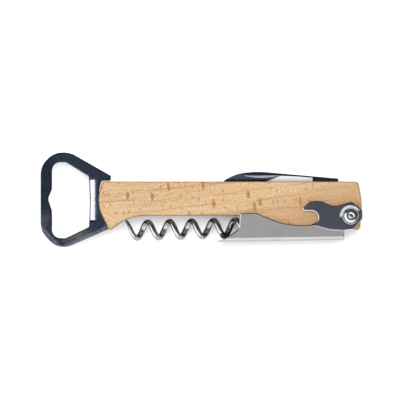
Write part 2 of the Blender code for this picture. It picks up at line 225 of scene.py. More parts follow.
EAR = [
    (47.6, -10.85, 0.0),
    (55.8, -13.1, 14.0),
    (62.3, -13.5, 0.0),
    (66.2, -13.0, 1.3),
    (RIGHT, -8.4, 1.5),
    (RIGHT, -4.5, 1.6),
    (65.4, -0.9, 0.9),
    (57.5, -3.1, 6.5),
    (52.2, -0.6, 7.0),
    (47.3, -0.6, 5.0),
    (44.1, -3.8, 0.45),
    (44.6, -4.85, 0.45),
    (50.9, -4.85, 2.9),
    (50.9, -10.85, 2.9),
]
RIVET_HEAD = [  # (radius, height) from the shank to the rim of the pip
    (1.9, 7.95), (2.75, 7.95), (2.9, 8.05), (2.86, 8.16), (2.6, 8.38), (2.2, 8.58), (1.8, 8.68),
    (1.5, 8.66), (1.25, 8.52), (1.02, 8.46), (0.92, 8.52), (0.88, 8.68), (0.78, 8.77),
]
COLLAR = [  # (radius, 0 at the inner face or 1 at the outer one, distance from it)
    (2.15, 0, 0.0), (3.5, 0, 0.0), (3.6, 0, 0.08), (3.56, 1, -0.08), (3.44, 1, 0.0), (3.3, 1, -0.01),
    (3.14, 1, -0.14), (2.98, 1, -0.2), (2.84, 1, -0.12), (2.7, 1, -0.04), (2.15, 1, -0.04), (2.15, 0, 0.0),
]
SHANK_HOLE_R = 2.15
BUSH_HOLE_R = 2.9
RIVET_HOLE_R = 1.45
THROUGH = 20.0  # cutters reach this far from the middle plane

FIRST_PEAK_X = -32.8
TURNS = 5.1
RUN_OUT_TURNS = 0.75
RUN_OUT_STRETCH = 1.3
AXIS_Y = -13.3
AXIS_X = -25.0
AXIS_RISE = 0.0235
TIP_FLARE = 0.8
TIP_TURNS = 0.5
SHANK_BEND = (29.5, -12.1)
SHANK_END = (35.6, -9.8)
SHANK_STEPS = 24
EYE_R = 3.4
EYE_HALF = 1.25
EYE_ROUNDING = 0.3
EYE_HOLE_R = 1.65

SKY_COLOUR = (1.10, 1.10, 1.10)
BRIGHT_SIDE = (-0.6, -0.8, 0.0)  # towards the ring and the lever
MIRRORED_SKY = (  # (height, colour) of the sky that polished metal sees
    (0.0, (0.90, 0.92, 0.98)),
    (0.10, (1.10, 1.12, 1.16)),
    (0.22, (1.40, 1.41, 1.44)),
    (0.72, (1.70, 1.70, 1.72)),
    (0.92, (1.25, 1.26, 1.30)),
)


# ---- mesh tools ----

def deselect():
    if bpy.context.object and bpy.context.object.mode != "OBJECT":
        bpy.ops.object.mode_set(mode="OBJECT")
    bpy.ops.object.select_all(action="DESELECT")


def pick_all():
    bpy.ops.mesh.select_all(action="SELECT")


def activate(piece):
    deselect()
    piece.select_set(True)
    bpy.context.view_layer.objects.active = piece


def new_point(name, place):
    """An object with one selected vertex, left in edit mode, to draw a line from."""
    deselect()
    bpy.ops.mesh.primitive_plane_add(size=MM, location=place)
    piece = bpy.context.object
    piece.name = name
    piece.data.name = name
    bpy.ops.object.mode_set(mode="EDIT")
    bpy.ops.mesh.select_mode(type="VERT")
    pick_all()
    bpy.ops.mesh.merge(type="CENTER")
    return piece


def draw_line(travel):
    """Extrudes the selected vertex along travel."""
    if travel.length > SAME_PLACE:
        bpy.ops.mesh.extrude_region_move(TRANSFORM_OT_translate={"value": travel})


def place_in_mesh(piece):
    """Leaves edit mode and moves the object's place into its mesh."""
    bpy.ops.object.mode_set(mode="OBJECT")
    activate(piece)
    bpy.ops.object.transform_apply(location=True, rotation=True, scale=True)


def merge_and_face_out():
    pick_all()
    bpy.ops.mesh.remove_doubles(threshold=SAME_PLACE)
    pick_all()
    bpy.ops.mesh.normals_make_consistent(inside=False)


def corner_arc(corners, index):
    """Start, end and centre of the arc that rounds a corner, in metres, and the angle that it turns."""
    x, y, radius = corners[index]
    here = Vector((x, y)) * MM
    ahead = (here - Vector(corners[index - 1][:2]) * MM).normalized()
    away = (Vector(corners[(index + 1) % len(corners)][:2]) * MM - here).normalized()
    turn = math.atan2(ahead.x * away.y - ahead.y * away.x, ahead.dot(away))
    reach = radius * MM * math.tan(abs(turn) / 2)
    start = here - ahead * reach
    side = Vector((-ahead.y, ahead.x)) * math.copysign(radius * MM, turn)
    return start, here + away * reach, start + side, turn


def slab(name, corners, low, high):
    """A flat plate between two heights: lines are extruded, corners are spun, and the face is extruded."""
    arcs = [corner_arc(corners, index) for index in range(len(corners))]
    level = MIDDLE + low * MM
    here = arcs[0][0]
    piece = new_point(name, (here.x, here.y, level))
    for (start, end, centre, turn), (_, _, radius) in zip(arcs, corners):
        draw_line((start - here).to_3d())
        here = start
        if radius:
            step = min(WIDEST_STEP, 2 * math.acos(1 - min(1.0, ARC_ERROR / radius)))
            steps = max(2, math.ceil(abs(turn) / step))
            axis_place = (centre.x, centre.y, level)
            bpy.ops.mesh.spin(steps=steps, angle=-turn, center=axis_place, axis=UP, dupli=False)
            here = end
    pick_all()
    bpy.ops.mesh.remove_doubles(threshold=SAME_PLACE)
    pick_all()
    bpy.ops.mesh.edge_face_add()
    bpy.ops.mesh.extrude_region_move(TRANSFORM_OT_translate={"value": (0.0, 0.0, (high - low) * MM)})
    merge_and_face_out()
    place_in_mesh(piece)
    return piece


def turned(name, centre, profile):
    """A solid spun about Z through centre from a profile of (radius, height)."""
    axis_x, axis_y = centre[0] * MM, centre[1] * MM
    points = [Vector((axis_x + radius * MM, axis_y, MIDDLE + height * MM)) for radius, height in profile]
    piece = new_point(name, points[0])
    for here, after in zip(points, points[1:]):
        draw_line(after - here)
    pick_all()
    bpy.ops.mesh.spin(steps=TURNED_STEPS, angle=math.tau, center=(axis_x, axis_y, 0.0), axis=UP, dupli=False)
    merge_and_face_out()
    place_in_mesh(piece)
    return piece


def carve(piece, *cutters, operation="DIFFERENCE"):
    """Cuts cutters out of a piece, or joins them on, and throws them away."""
    activate(piece)
    for cutter in cutters:
        modifier = piece.modifiers.new("Cut", "BOOLEAN")
        modifier.operation = operation
        modifier.solver = "EXACT"
        modifier.object = cutter
        bpy.ops.object.modifier_apply(modifier=modifier.name)
        bpy.data.objects.remove(cutter)


def drill(piece, centre, radius):
    carve(piece, slab("drill", circle_corners(centre, radius), -THROUGH, THROUGH))


def clean_cuts(piece):
    """Merges what the cuts left and makes each flat side one face."""
    activate(piece)
    bpy.ops.object.mode_set(mode="EDIT")
    pick_all()
    bpy.ops.mesh.remove_doubles(threshold=SAME_PLACE)
    pick_all()
    bpy.ops.mesh.dissolve_limited(angle_limit=math.radians(0.2))
    bpy.ops.object.mode_set(mode="OBJECT")


def pick_edges(piece, test):
    """Selects, in edit mode, just the edges that pass the test."""
    bpy.ops.mesh.select_mode(type="EDGE")
    bpy.ops.mesh.select_all(action="DESELECT")
    cage = bmesh.from_edit_mesh(piece.data)
    for edge in cage.edges:
        edge.select_set(test(edge))
    bmesh.update_edit_mesh(piece.data)


def paint(piece, slot, test):
    """Gives the faces whose centre, from the middle plane in millimetres, and normal pass the test a slot."""
    lift = Vector((0.0, 0.0, MIDDLE))
    for face in piece.data.polygons:
        if test((face.center - lift) / MM, face.normal):
            face.material_index = slot


def apply_modifiers(piece):
    activate(piece)
    for name in [modifier.name for modifier in piece.modifiers]:
        bpy.ops.object.modifier_apply(modifier=name)


def round_edges(piece, width, segments, edge_slot=-1):
    """Rounds every sharp edge; the new faces take the material of edge_slot."""
    bevel = piece.modifiers.new("Rounded edges", "BEVEL")
    bevel.width = width
    bevel.segments = segments
    bevel.limit_method = "ANGLE"
    bevel.angle_limit = math.radians(32)
    bevel.use_clamp_overlap = False
    bevel.miter_outer = "MITER_ARC"
    bevel.material = edge_slot
    even_shading(piece)


def even_shading(piece):
    """Keeps flat faces flat and lets the rounded ones run into them."""
    activate(piece)
    bpy.ops.object.shade_smooth_by_angle(angle=math.radians(40))
    weights = piece.modifiers.new("Even shading", "WEIGHTED_NORMAL")
    weights.keep_sharp = True
    apply_modifiers(piece)


def dress(piece, *materials):
    piece.data.materials.clear()
    for material in materials:
        piece.data.materials.append(material)


def hand_over(piece, body, slot, *nodes):
    """Puts a finished piece on its body, in place of its CAD nodes."""
    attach(piece, body)
    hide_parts(*nodes)


# ---- materials ----

class Wire:
    """An output of a material's node; arithmetic on it adds Math nodes."""

    def __init__(self, finish, socket):
        self.finish = finish
        self.socket = socket

    def math(self, operation, *values):
        return self.finish.node("ShaderNodeMath", {"operation": operation}, *values)

    def __add__(self, other):
        return self.math("ADD", self, other)

    def __sub__(self, other):
        return self.math("SUBTRACT", self, other)

    def __rsub__(self, other):
        return self.math("SUBTRACT", other, self)

    def __mul__(self, other):
        return self.math("MULTIPLY", self, other)

    __radd__ = __add__
    __rmul__ = __mul__

    def size(self):
        return self.math("ABSOLUTE", self)

    def most(self, other):
        return self.math("MAXIMUM", self, other)

    def step(self, low, high):
        """0 below low, 1 above high and smooth between; with low above high it falls."""
        settings = {"interpolation_type": "SMOOTHSTEP"}
        if low < high:
            return self.finish.node("ShaderNodeMapRange", settings, self, low, high)
        return 1.0 - self.finish.node("ShaderNodeMapRange", settings, self, high, low)


class Nodes:
    """The nodes of a material or of the world."""

    def __init__(self, tree):
        self.tree = tree

    def node(self, kind, settings, *values, output=0, **named):
        """A node of that kind: its settings are set first, then its sockets by order or by name."""
        made = self.tree.nodes.new(kind)
        for key, value in settings.items():
            if key == "stops":
                self.set_stops(made.color_ramp, value)
            else:
                setattr(made, key, value)
        for socket, value in zip(made.inputs, values):
            self.feed(socket, value)
        for name, value in named.items():
            self.feed(made.inputs[name.replace("_", " ")], value)
        return Wire(self, made.outputs[output])

    def feed(self, socket, value):
        if isinstance(value, Wire):
            self.tree.links.new(value.socket, socket)
        elif socket.type == "RGBA" and len(value) == 3:
            socket.default_value = (*value, 1.0)
        else:
            socket.default_value = value

    def set_stops(self, ramp, stops):
        while len(ramp.elements) < len(stops):
            ramp.elements.new(1.0)
        for element, (position, colour) in zip(ramp.elements, stops):
            element.position = position
            element.color = (*colour, 1.0)


class Finish(Nodes):
    """A material in the making."""

    def __init__(self, name):
        self.material = bpy.data.materials.new(name)
        self.material.use_nodes = True
        super().__init__(self.material.node_tree)
        self.shader = self.tree.nodes["Principled BSDF"]

    def place(self, lean=0.0, shift=(0.0, 0.0, 0.0)):
        """Object coordinates in millimetres, turned by lean about Z, then shifted."""
        coordinates = self.node("ShaderNodeTexCoord", {}, output="Object")
        mapping = {"vector_type": "POINT"}
        return self.node("ShaderNodeMapping", mapping, coordinates, shift, (0.0, 0.0, lean), (1000.0,) * 3)

    def stretch(self, place, scale):
        return self.node("ShaderNodeVectorMath", {"operation": "MULTIPLY"}, place, scale)

    def part(self, place, axis):
        return self.node("ShaderNodeSeparateXYZ", {}, place, output=axis)

    def noise(self, place, scale=(1.0, 1.0, 1.0), detail=2.0, roughness=0.5):
        place = self.stretch(place, scale)
        return self.node(
            "ShaderNodeTexNoise", {}, Vector=place, Scale=1.0, Detail=detail, Roughness=roughness
        )

    def mix(self, factor, first, second):
        """Mixes two colours."""
        mixed = self.node("ShaderNodeMix", {"data_type": "RGBA"}, factor, output=2)
        colours = mixed.socket.node.inputs[6:8]
        self.feed(colours[0], first)
        self.feed(colours[1], second)
        return mixed

    def bump(self, height, distance, strength=1.0):
        normal = self.node("ShaderNodeBump", {}, Strength=strength, Distance=distance * MM, Height=height)
        self.feed(self.shader.inputs["Normal"], normal)

    def set(self, **values):
        for name, value in values.items():
            self.feed(self.shader.inputs[name.replace("_", " ")], value)


def shade(colour, factor):
    return tuple(min(1.0, channel * factor) for channel in colour)


def beech(name, settings, seed):
    """Oiled beech: fine fibre, growth lines, short ray flecks across the grain and a rim darkened by oil and by
    painted shade of its rounding.
    """
    finish = Finish(name)
    lean = -math.radians(settings.grain_lean)
    grain = finish.place(lean, (seed, seed * 0.7, seed * 0.3))
    broad = finish.noise(grain, (0.02, 0.13, 0.05), 3.0, 0.55)
    bands = finish.noise(grain, (0.012, 0.55, 0.2), 3.0, 0.6)
    fibre = finish.noise(grain, (0.22, 2.6, 1.0), 3.0, 0.65)
    pores = finish.noise(grain, (1.5, 0.9, 1.0), 2.0, 0.7)
    wander = finish.noise(grain, (0.02, 0.03, 0.05), 2.0, 0.5)
    phase = finish.part(grain, "Y") * settings.ring_rate + wander * 2.2
    line = phase.math("PINGPONG", phase, 0.5).step(0.08, 0.0) * bands.step(0.36, 0.52)
    ragged = finish.noise(grain, (1.5, 0.9, 1.0), 2.0, 0.6)

    def flecks(cell, size, share, offset):
        moved = finish.node("ShaderNodeVectorMath", {"operation": "ADD"}, grain, (offset, offset * 1.7, 0.0))
        spot = finish.stretch(moved, (1 / cell[0], 1 / cell[1], 0.0))
        pattern = {"voronoi_dimensions": "2D"}
        away = finish.node("ShaderNodeTexVoronoi", pattern, Vector=spot, Scale=1.0, output="Distance")
        cell_colour = finish.node("ShaderNodeTexVoronoi", pattern, Vector=spot, Scale=1.0, output="Color")
        chance = finish.node("ShaderNodeSeparateColor", {}, cell_colour)
        reach = (ragged * 1.3 + 0.45) * size
        return (reach - away).step(0.0, size * 0.6) * chance.step(1 - share, 1.1 - share)

    large = flecks((5.2, 13.0), 0.17, 0.62, 0.0)
    small = flecks((2.6, 5.2), 0.20, 0.45, 31.0)
    fleck = large.most(small * 0.6)
    rim = finish.node("ShaderNodeAttribute", {"attribute_name": "rim"}, output="Fac")
    # darker towards the lower right, mixed towards the streak colour
    darker_lower_right = (finish.part(grain, "X") * 0.018 - finish.part(grain, "Y") * 0.055).step(0.35, 1.6)

    colour = finish.mix(broad.step(0.30, 0.72), settings.light_wood, settings.warm_wood)
    colour = finish.mix(bands.step(0.48, 0.64) * 0.60, colour, settings.streak_wood)
    colour = finish.mix(fibre.step(0.40, 0.70) * 0.55, colour, settings.pale_wood)
    colour = finish.mix(pores.step(0.48, 0.64) * 0.50, colour, settings.streak_wood)
    colour = finish.mix(pores.step(0.50, 0.36) * 0.50, colour, settings.pale_wood)
    colour = finish.mix(line * 0.55, colour, settings.fleck_wood)
    colour = finish.mix(fleck * 0.95, colour, settings.fleck_wood)
    colour = finish.mix(darker_lower_right * 0.60, colour, settings.streak_wood)
    # The rim colour is partly oil and partly painted shade of the rounded edge
    colour = finish.mix(rim.step(0.35, 1.0) * 0.9, colour, settings.rim_wood)
    finish.set(Base_Color=colour, Roughness=0.50 + 0.14 * fibre + 0.08 * fleck)
    finish.set(Specular_IOR_Level=0.35)
    finish.bump(fibre * 0.6 + pores * 0.5 - fleck * 0.7 - line * 0.5, 0.05)
    return finish.material


def metal(name, colour, roughness, grain=(0.9, 0.9, 0.9), mottle=0.12, scratch=0.1, metallic=1.0):
    """Polished or brushed metal: a cloudy tone and fine scratches along its grain."""
    finish = Finish(name)
    place = finish.place()
    cloud = finish.noise(place, (0.2, 0.2, 0.2), 3.0, 0.6)
    fine = finish.noise(place, grain, 4.0, 0.7)
    base = finish.mix(cloud.step(0.3, 0.7), shade(colour, 1 - mottle), shade(colour, 1 + mottle / 2))
    base = finish.mix(fine.step(0.52, 0.80) * scratch * 3, base, shade(colour, 1.5))
    uneven = fine * scratch + cloud * 0.06 + (roughness - 0.05)
    finish.set(Base_Color=base, Metallic=metallic, Roughness=uneven)
    finish.bump(fine, 0.12 * scratch)
    return finish.material


def dark_plate(name, settings, roughness, tone, nicked_and_glinting_edges):
    """Dark polished steel with painted light: its dark colour stands for a mirrored dark studio, the left bar gets
    painted shade and lighter patches low down a painted sheen; it is nicked along the edges (x, y, x, y) given,
    with painted glints along the top one.
    """
    finish = Finish(name)
    place = finish.place()
    cloud = finish.noise(place, (0.12, 0.12, 0.12), 4.0, 0.6)
    fine = finish.noise(place, (1.6, 1.6, 1.0), 3.0, 0.7)
    across = finish.part(place, "X")
    along = finish.part(place, "Y")

    def near_edge(edge, reach):
        """1 along the straight edge (x, y, x, y), falling to 0 at reach from it."""
        x1, y1, x2, y2 = edge
        length = math.hypot(x2 - x1, y2 - y1)
        normal_x, normal_y = (y1 - y2) / length, (x2 - x1) / length
        inside = across * normal_x + along * normal_y - (x1 * normal_x + y1 * normal_y)
        return inside.size().step(reach, 0.0)

    edges = near_edge(nicked_and_glinting_edges[0], 2.2)
    for edge in nicked_and_glinting_edges[1:]:
        edges = edges.most(near_edge(edge, 2.8))
    speckled = finish.noise(place, (3.6, 3.6, 3.6), 2.0, 0.7)
    # bright specks near the edges: nicks on the lower ones, painted glints along the top
    nicks_and_glints = edges.step(0.05, 0.45) * speckled.step(0.54, 0.59)
    pitted = edges.step(0.0, 0.30) * speckled.step(0.46, 0.41)
    # painted sheen: lighter cloudy patches, more of them towards the bottom of the ring
    painted_sheen = cloud.step(0.40, 0.66) * (along * -0.055 + 0.12).step(0.0, 1.0)
    # painted shade: darkens the left bar, fading out towards its lower end
    shaded = (across - RING_OPENING[0][0]).step(3.1, -1.9) * (along * 0.10 + 1.1).step(0.0, 0.8)
    # The first colour is the plate's painted dark reflection; the second, much darker, is painted shade for the
    # left bar
    plate, shaded_plate = shade(settings.plate_colour, tone), shade(settings.plate_colour, tone * 0.4)
    sheen_and_wear = shade(settings.worn_colour, tone)
    base = finish.mix(painted_sheen, finish.mix(shaded * 0.6, plate, shaded_plate), sheen_and_wear)
    base = finish.mix(fine.step(0.52, 0.74) * 0.30, base, sheen_and_wear)
    base = finish.mix(nicks_and_glints * 0.8, base, settings.bright_colour)
    base = finish.mix(pitted * 0.6, base, shade(settings.plate_colour, 0.2))
    uneven = cloud * 0.08 + fine * 0.06 + nicks_and_glints * 0.25 + (roughness - 0.06)
    finish.set(Base_Color=base, Metallic=1.0, Roughness=uneven)
    finish.bump(fine * 0.15 - nicks_and_glints, 0.05)
    return finish.material


def ground_lip(name, settings):
    """A lip ground bright: grinding ripples across it, dark nicks at the crease and a ragged border."""
    finish = Finish(name)
    place = finish.place()
    ripple = finish.noise(place, (0.9, 0.55, 0.9), 3.0, 0.6)
    x = finish.part(place, "X")
    crease = (x - LIP[1][0]).size().step(0.35, 0.05)
    grit = finish.noise(place, (2.6, 1.8, 2.6), 2.0, 0.6)
    border = (x + grit * LIP_RAGGED - (LIP_BORDER + LIP_RAGGED / 2)).step(-0.1, 0.2)
    dark_line = (x + ripple * LIP_WANDER - (LIP_DARK_LINE + LIP_WANDER / 2)).size().step(0.26, 0.08)
    nicks = border.most(crease * grit.step(0.52, 0.60) * 0.8).most(dark_line * 0.6)
    base = finish.mix(nicks, settings.bright_colour, settings.plate_colour)
    finish.set(Base_Color=base, Metallic=1.0, Roughness=ripple * 0.15 + 0.16)
    finish.bump(ripple, 0.06)
    return finish.material


def slate_ear(name, settings):
    """Slate-coloured hook plate, the slate a painted dark reflection, with a bright patch above the rivet that is
    partly polish from the collar and partly painted sheen.
    """
    finish = Finish(name)
    place = finish.place()
    cloud = finish.noise(place, (0.2, 0.2, 0.2), 3.0, 0.6)
    fine = finish.noise(place, (1.2, 1.2, 1.0), 4.0, 0.7)
    x = finish.part(place, "X") - LEVER[0]
    y = finish.part(place, "Y") - LEVER[1]
    squared = x * x + y * y
    reach = squared.math("SQRT", squared)
    # the bright patch above the rivet: partly polish from the collar, partly painted sheen where the plate is
    # dished round the hole
    polished = (reach + cloud).step(5.6, 4.9) * (y - x * 0.35).step(0.5, 2.0)
    dull, light = shade(settings.ear_colour, 0.93), shade(settings.ear_colour, 1.05)
    base = finish.mix(cloud.step(0.3, 0.7), dull, light)
    base = finish.mix(polished * 0.9, base, settings.bright_colour)
    finish.set(Base_Color=base, Metallic=1.0 - 0.4 * polished, Roughness=fine * 0.06 + 0.22)
    finish.bump(fine, 0.006)
    return finish.material


def ground_face(name, settings):
    """A ground blade face with fine lines from the wheel; a painted reflection makes it bright near the tang and
    dark towards the tip and under the spine.
    """
    finish = Finish(name)
    place = finish.place()
    lines = finish.noise(place, (5.0, 0.25, 0.25), 3.0, 0.6)
    x = finish.part(place, "X")
    y = finish.part(place, "Y")
    below_spine = x * SPINE_SLOPE - y + (SPINE_START[1] - SPINE_START[0] * SPINE_SLOPE)
    # painted reflection: the bright part of the hollow grind, clear of the spine
    bright = (x - y * 2.4).step(8.6, 10.6) * below_spine.step(0.55, 0.75)
    base = finish.mix(bright, settings.plate_colour, settings.bright_colour)
    base = finish.mix(lines.step(0.5, 0.8) * 0.2, base, settings.worn_colour)
    finish.set(Base_Color=base, Metallic=1.0 - 0.5 * bright, Roughness=lines * 0.1 + 0.2)
    finish.bump(lines, 0.02)
    return finish.material


# ---- settings ----

def colour_property(name, description, default):
    return FloatVectorProperty(
        name=name, description=description, default=default, subtype="COLOR", size=3, min=0.0, max=1.0
    )


def length_property(name, description, default):
    return FloatProperty(name=name, description=description, default=default, min=0.0, unit="LENGTH")


def power_property(name, description, default):
    return FloatProperty(name=name, description=description, default=default, min=0.0, unit="POWER")


class WoodSettings(bpy.types.PropertyGroup):
    rounding: length_property("Rounding", "Radius of the scales' outer edges", 0.9 * MM)
    segments: IntProperty(name="Segments", description="Steps in that rounding", default=6, min=1)
    grain_lean: FloatProperty(name="Grain lean", description="Slope of the grain in degrees", default=6.0)
    ring_rate: FloatProperty(name="Growth lines", description="Growth lines in each millimetre", default=0.22)
    light_wood: colour_property("Light wood", "Beech between the growth lines", (0.405, 0.275, 0.152))
    warm_wood: colour_property("Warm wood", "Broad warmer bands", (0.37, 0.225, 0.110))
    pale_wood: colour_property("Pale wood", "Fine pale fibres", (0.475, 0.358, 0.222))
    streak_wood: colour_property("Streak", "Narrow darker bands and pores", (0.29, 0.165, 0.076))
    fleck_wood: colour_property("Fleck", "Short ray flecks and growth lines", (0.240, 0.108, 0.038))
    # Rim: partly oil from handling, partly painted shade of the rounded edge
    rim_wood: colour_property("Rim", "Edges darkened by oil and handling", (0.17, 0.068, 0.020))


class SteelSettings(bpy.types.PropertyGroup):
    edge_width: length_property("Edge width", "Width of the polished edges of the plates", 0.4 * MM)
    edge_segments: IntProperty(name="Edge segments", description="Steps in a polished edge", default=3, min=1)
    # Plate: a painted reflection, dark navy for the dark studio that the polished steel mirrors
    plate_colour: colour_property("Plate", "Dark polished steel of the ring", (0.075, 0.101, 0.160))
    # Worn plate: painted sheen in the ring's lighter patches, and also its fine mottling and the blade's wheel
    # lines
    worn_colour: colour_property("Worn plate", "Rubbed patches of the ring", (0.27, 0.28, 0.31))
    # Ear: slate painted for the darker reflection in the hook plate's faces
    ear_colour: colour_property("Ear", "Slate steel of the lever's hook plate", (0.225, 0.243, 0.290))
    sheet_colour: colour_property("Sheet", "Satin sheet of the lever's channel", (0.385, 0.378, 0.378))
    bright_colour: colour_property("Bright steel", "Ground and polished edges", (0.80, 0.81, 0.83))
    plain_colour: colour_property("Plain steel", "Rolled steel of the inner plates", (0.50, 0.50, 0.52))
    brass_colour: colour_property("Brass", "Washers and bush", (0.72, 0.50, 0.20))


class WormSettings(bpy.types.PropertyGroup):
    wire_radius: length_property("Wire radius", "Radius of the worm's wire", 1.25 * MM)
    tip_radius: length_property("Tip radius", "Radius at the very point", 0.42 * MM)
    pitch: length_property("Pitch", "Length of one turn", 9.55 * MM)
    coil_radius: length_property("Coil radius", "From the axis to the middle of the wire", 3.4 * MM)
    steps: IntProperty(name="Steps", description="Points on the wire in one turn", default=48, min=12)
    chrome: colour_property("Chrome", "Bright plate of the worm", (0.58, 0.59, 0.61))


class StageSettings(bpy.types.PropertyGroup):
    view_width: length_property("View width", "Width of the picture at the object", 173.9 * MM)
    camera_height: length_property("Camera height", "From the object's front to the camera", 1.5)
    floor_size: length_property("Floor size", "Side of the floor", 6.0)
    floor_colour: colour_property("Floor", "Pale floor", (0.82, 0.82, 0.82))
    floor_glow: FloatProperty(name="Floor glow", description="Light that the floor gives off", default=0.10)
    key_power: power_property("Key light", "Softbox beyond the knife", 11.5)
    fill_power: power_property("Fill light", "Softbox before the lever", 1.5)
    side_power: power_property("Side light", "Softbox beyond the ring", 1.0)


# ---- pieces ----

class OBJECT_OT_corkscrew_inner(bpy.types.Operator):
    """Finish the plates, pins, washers and spring that keep their CAD shape."""

    bl_idname = "object.corkscrew_inner"
    bl_label = "Inner metal"

    def execute(self, context):
        settings = context.scene.corkscrew_steel
        rolled = metal("rolled_steel", settings.plain_colour, 0.30, grain=(0.3, 5.0, 1.0))
        by_slot = {
            "plain_steel": rolled,
            "brass": metal("plain_brass", settings.brass_colour, 0.28),
        }
        slots = {entry["node"]: entry["material_slot"] for entry in frame["record"]["subparts"]}
        for node, thing in frame["nodes"].items():
            if slots[node] in by_slot:
                dress(thing, by_slot[slots[node]])
        return {"FINISHED"}


class OBJECT_OT_corkscrew_scales(bpy.types.Operator):
    """Model the two wooden scales with rounded, darkened outer edges."""

    bl_idname = "object.corkscrew_scales"
    bl_label = "Wooden scales"

    def execute(self, context):
        settings = context.scene.corkscrew_wood
        for name, node, seed in (("front_wood", "front_scale", 3.0), ("back_wood", "back_scale", 41.0)):
            low, high = layer(node)
            piece = slab(name, HANDLE, low, high)
            drill(piece, LEVER, BUSH_HOLE_R)
            clean_cuts(piece)
            outer = high if high > 0 else low
            self.round_rim(piece, MIDDLE + outer * MM, settings)
            dress(piece, beech(name, settings, seed))
            even_shading(piece)
            hand_over(piece, "handle", "beech", node)
        return {"FINISHED"}

    def round_rim(self, piece, level, settings):
        """Rounds the rim of the outer face and marks how far round the edge each point lies."""
        axis = Vector(LEVER) * MM

        def on_rim(edge):
            on_face = all(abs(end.co.z - level) < 10 * SAME_PLACE for end in edge.verts)
            round_hole = all((end.co.xy - axis).length < 2 * BUSH_HOLE_R * MM for end in edge.verts)
            folded = len(edge.link_faces) == 2 and edge.calc_face_angle(0.0) > math.radians(60)
            return on_face and folded and not round_hole

        activate(piece)
        bpy.ops.object.mode_set(mode="EDIT")
        pick_edges(piece, on_rim)
        bpy.ops.mesh.bevel(offset=settings.rounding, segments=settings.segments, profile=0.5, affect="EDGES")
        bpy.ops.object.mode_set(mode="OBJECT")
        rim = piece.data.attributes.new("rim", "FLOAT", "POINT")
        for vertex, mark in zip(piece.data.vertices, rim.data):
            rise = 1.0 - min(1.0, abs(vertex.co.z - level) / settings.rounding)
            mark.value = math.sqrt(1.0 - rise * rise)


class OBJECT_OT_corkscrew_ring(bpy.types.Operator):
    """Model the cap-lifter ring with polished edges and a ground lip."""

    bl_idname = "object.corkscrew_ring"
    bl_label = "Ring cap lifter"

    def execute(self, context):
        settings = context.scene.corkscrew_steel
        low, high = layer("opener_plate")
        piece = slab("ring_plate", RING, low, high)
        carve(piece, slab("opening", RING_OPENING, -THROUGH, THROUGH), self.lip_cutter())
        for node in ("plate_rivet_left", "plate_rivet_right"):
            drill(piece, middle(node).xy / MM, RIVET_HOLE_R)
        clean_cuts(piece)
        face = dark_plate("dark_plate", settings, 0.24, 1.0, NICKED_AND_GLINTING_EDGES)
        # The rim is a darker copy of the plate (tone 0.6): painted shade on the rounded edges
        rim = dark_plate("rim_painted_shade", settings, 0.18, 0.6, NICKED_AND_GLINTING_EDGES)
        dress(piece, face, rim, ground_lip("ground_lip", settings))
        rim_slot, lip_slot = 1, 2
        paint(piece, lip_slot, lambda centre, normal: centre.x > LIP[0][0] and 0.1 < normal.z < FLAT)
        round_edges(piece, settings.edge_width, settings.edge_segments, rim_slot)
        hand_over(piece, "handle", "dark_steel", "opener_plate")
        return {"FINISHED"}

    def lip_cutter(self):
        """What is ground off the lip: its side is drawn, filled and carried along the lip."""
        low, high = LIP_SPAN
        profile = [*LIP, (LIP[-1][0], 3.0), (LIP[0][0], 3.0)]
        points = [Vector((x * MM, low * MM, MIDDLE + height * MM)) for x, height in profile]
        cutter = new_point("lip_cutter", points[0])
        for here, after in zip(points, points[1:]):
            draw_line(after - here)
        pick_all()
        bpy.ops.mesh.edge_face_add()
        bpy.ops.mesh.extrude_region_move(TRANSFORM_OT_translate={"value": (0.0, (high - low) * MM, 0.0)})
        merge_and_face_out()
        place_in_mesh(cutter)
        return cutter


